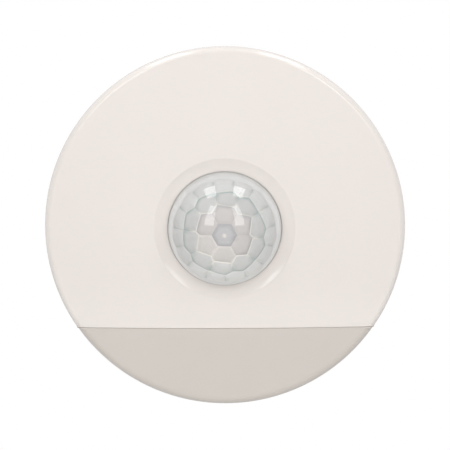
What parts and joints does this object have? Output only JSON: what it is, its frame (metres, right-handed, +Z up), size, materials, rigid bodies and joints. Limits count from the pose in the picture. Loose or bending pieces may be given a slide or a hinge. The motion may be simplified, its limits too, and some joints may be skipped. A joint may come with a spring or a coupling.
{
  "type": "motion sensor",
  "caption": "Round flush-mounted passive infrared motion sensor with a faceted lens dome, a frosted night-light segment, adjusters, a mounting frame with spreader claws and a wall-box housing.",
  "frame": {"origin": "centre of the disc in the plane of the wall, which is the back face of the mounting frame", "axes": "+Z up, -Y out of the wall towards the room, +Y into the wall box, +X to the right as seen from the room"},
  "size_m": [0.08, 0.0515, 0.0799],
  "materials": {
    "cover_plastic": "satin",
    "diffuser_plastic": "frosted",
    "lens_plastic": "glossy",
    "inner_plastic": "matte",
    "housing_plastic": "matte",
    "frame_steel": "zinc plated",
    "screw_steel": "zinc plated",
    "terminal_brass": "plain",
    "sensor_can": "plated",
    "circuit_board": "solder mask",
    "black_plastic": "matte",
    "blue_plastic": "glossy",
    "led_resin": "glossy",
    "varistor_coat": "glossy",
    "white_board": "white solder mask"
  },
  "bodies": {
    "root": {"pir_lens": "lens_plastic", "lens_retaining_ring": "inner_plastic", "front_chassis": "inner_plastic", "pyro_sensor": "sensor_can", "pyro_spacer": "black_plastic", "light_sensor": "led_resin", "sensor_board": "circuit_board", "signal_chip": "black_plastic", "time_trimmer": "blue_plastic", "light_level_trimmer": "blue_plastic", "sensitivity_trimmer": "blue_plastic", "board_screw_1": "screw_steel", "board_screw_2": "screw_steel", "light_tray": "inner_plastic", "led_board": "white_board", "led_1": "led_resin", "led_2": "led_resin", "led_3": "led_resin", "led_4": "led_resin", "led_lead": "black_plastic", "mounting_frame": "frame_steel", "rear_housing": "housing_plastic", "housing_screw_1": "screw_steel", "housing_screw_2": "screw_steel", "claw_pin_left": "screw_steel", "claw_pin_right": "screw_steel", "board_connector": "black_plastic", "power_board": "circuit_board", "relay": "blue_plastic", "suppression_capacitor": "blue_plastic", "main_capacitor": "black_plastic", "small_capacitor": "black_plastic", "fuse": "black_plastic", "varistor": "varistor_coat", "terminal_block": "housing_plastic"},
    "cover": {"front_cover": "cover_plastic", "light_diffuser": "diffuser_plastic"},
    "time_dial": {"time_rotor": "inner_plastic"},
    "light_level_dial": {"light_level_rotor": "inner_plastic"},
    "sensitivity_dial": {"sensitivity_rotor": "inner_plastic"},
    "spreader_left": {"claw_left": "frame_steel"},
    "spreader_screw_left": {"claw_screw_left": "screw_steel"},
    "spreader_right": {"claw_right": "frame_steel"},
    "spreader_screw_right": {"claw_screw_right": "screw_steel"},
    "clamping_screw_live": {"terminal_screw_live": "screw_steel"},
    "wire_clamp_live": {"terminal_clamp_live": "terminal_brass"},
    "clamping_screw_neutral": {"terminal_screw_neutral": "screw_steel"},
    "wire_clamp_neutral": {"terminal_clamp_neutral": "terminal_brass"},
    "clamping_screw_switched": {"terminal_screw_switched": "screw_steel"},
    "wire_clamp_switched": {"terminal_clamp_switched": "terminal_brass"}
  },
  "joints": [
    {"name": "cover_release", "type": "slide", "parent": "root", "child": "cover", "axis": [0, -1, 0], "range_m": [0, 0.018]},
    {"name": "time_turn", "type": "hinge", "parent": "root", "child": "time_dial", "pos_m": [-0.0096, -0.0035, 0.01663], "axis": [0, -1, 0], "range_deg": [-135, 135]},
    {"name": "light_level_turn", "type": "hinge", "parent": "root", "child": "light_level_dial", "pos_m": [0, -0.0035, 0.0192], "axis": [0, -1, 0], "range_deg": [-135, 135]},
    {"name": "sensitivity_turn", "type": "hinge", "parent": "root", "child": "sensitivity_dial", "pos_m": [0.0096, -0.0035, 0.01663], "axis": [0, -1, 0], "range_deg": [-135, 135]},
    {"name": "claw_screw_left_turn", "type": "hinge", "parent": "root", "child": "spreader_screw_left", "pos_m": [-0.0254, 0.005, 0], "axis": [0, 1, 0], "range_deg": [0, 600]},
    {"name": "claw_left_swing", "type": "hinge", "parent": "root", "child": "spreader_left", "pos_m": [-0.0229, 0.0066, 0], "axis": [0, 0, 1], "range_deg": [0, 20]},
    {"name": "claw_screw_right_turn", "type": "hinge", "parent": "root", "child": "spreader_screw_right", "pos_m": [0.0254, 0.005, 0], "axis": [0, 1, 0], "range_deg": [0, 600]},
    {"name": "claw_right_swing", "type": "hinge", "parent": "root", "child": "spreader_right", "pos_m": [0.0229, 0.0066, 0], "axis": [0, 0, -1], "range_deg": [0, 20]},
    {"name": "terminal_screw_live_turn", "type": "hinge", "parent": "root", "child": "clamping_screw_live", "pos_m": [-0.0072, 0.0205, -0.013], "axis": [0, -1, 0], "range_deg": [0, 1440]},
    {"name": "terminal_clamp_live_travel", "type": "slide", "parent": "root", "child": "wire_clamp_live", "axis": [0, 1, 0], "range_m": [0, 0.002]},
    {"name": "terminal_screw_neutral_turn", "type": "hinge", "parent": "root", "child": "clamping_screw_neutral", "pos_m": [0, 0.0205, -0.013], "axis": [0, -1, 0], "range_deg": [0, 1440]},
    {"name": "terminal_clamp_neutral_travel", "type": "slide", "parent": "root", "child": "wire_clamp_neutral", "axis": [0, 1, 0], "range_m": [0, 0.002]},
    {"name": "terminal_screw_switched_turn", "type": "hinge", "parent": "root", "child": "clamping_screw_switched", "pos_m": [0.0072, 0.0205, -0.013], "axis": [0, -1, 0], "range_deg": [0, 1440]},
    {"name": "terminal_clamp_switched_travel", "type": "slide", "parent": "root", "child": "wire_clamp_switched", "axis": [0, 1, 0], "range_m": [0, 0.002]}
  ],
  "couplings": [
    {"joint": "claw_left_swing", "follows": "claw_screw_left_turn", "ratio": 0.033332},
    {"joint": "claw_right_swing", "follows": "claw_screw_right_turn", "ratio": 0.033332},
    {"joint": "terminal_screw_live_turn", "follows": "terminal_clamp_live_travel", "rad_per_m": 12566},
    {"joint": "terminal_screw_neutral_turn", "follows": "terminal_clamp_neutral_travel", "rad_per_m": 12566},
    {"joint": "terminal_screw_switched_turn", "follows": "terminal_clamp_switched_travel", "rad_per_m": 12566}
  ]
}
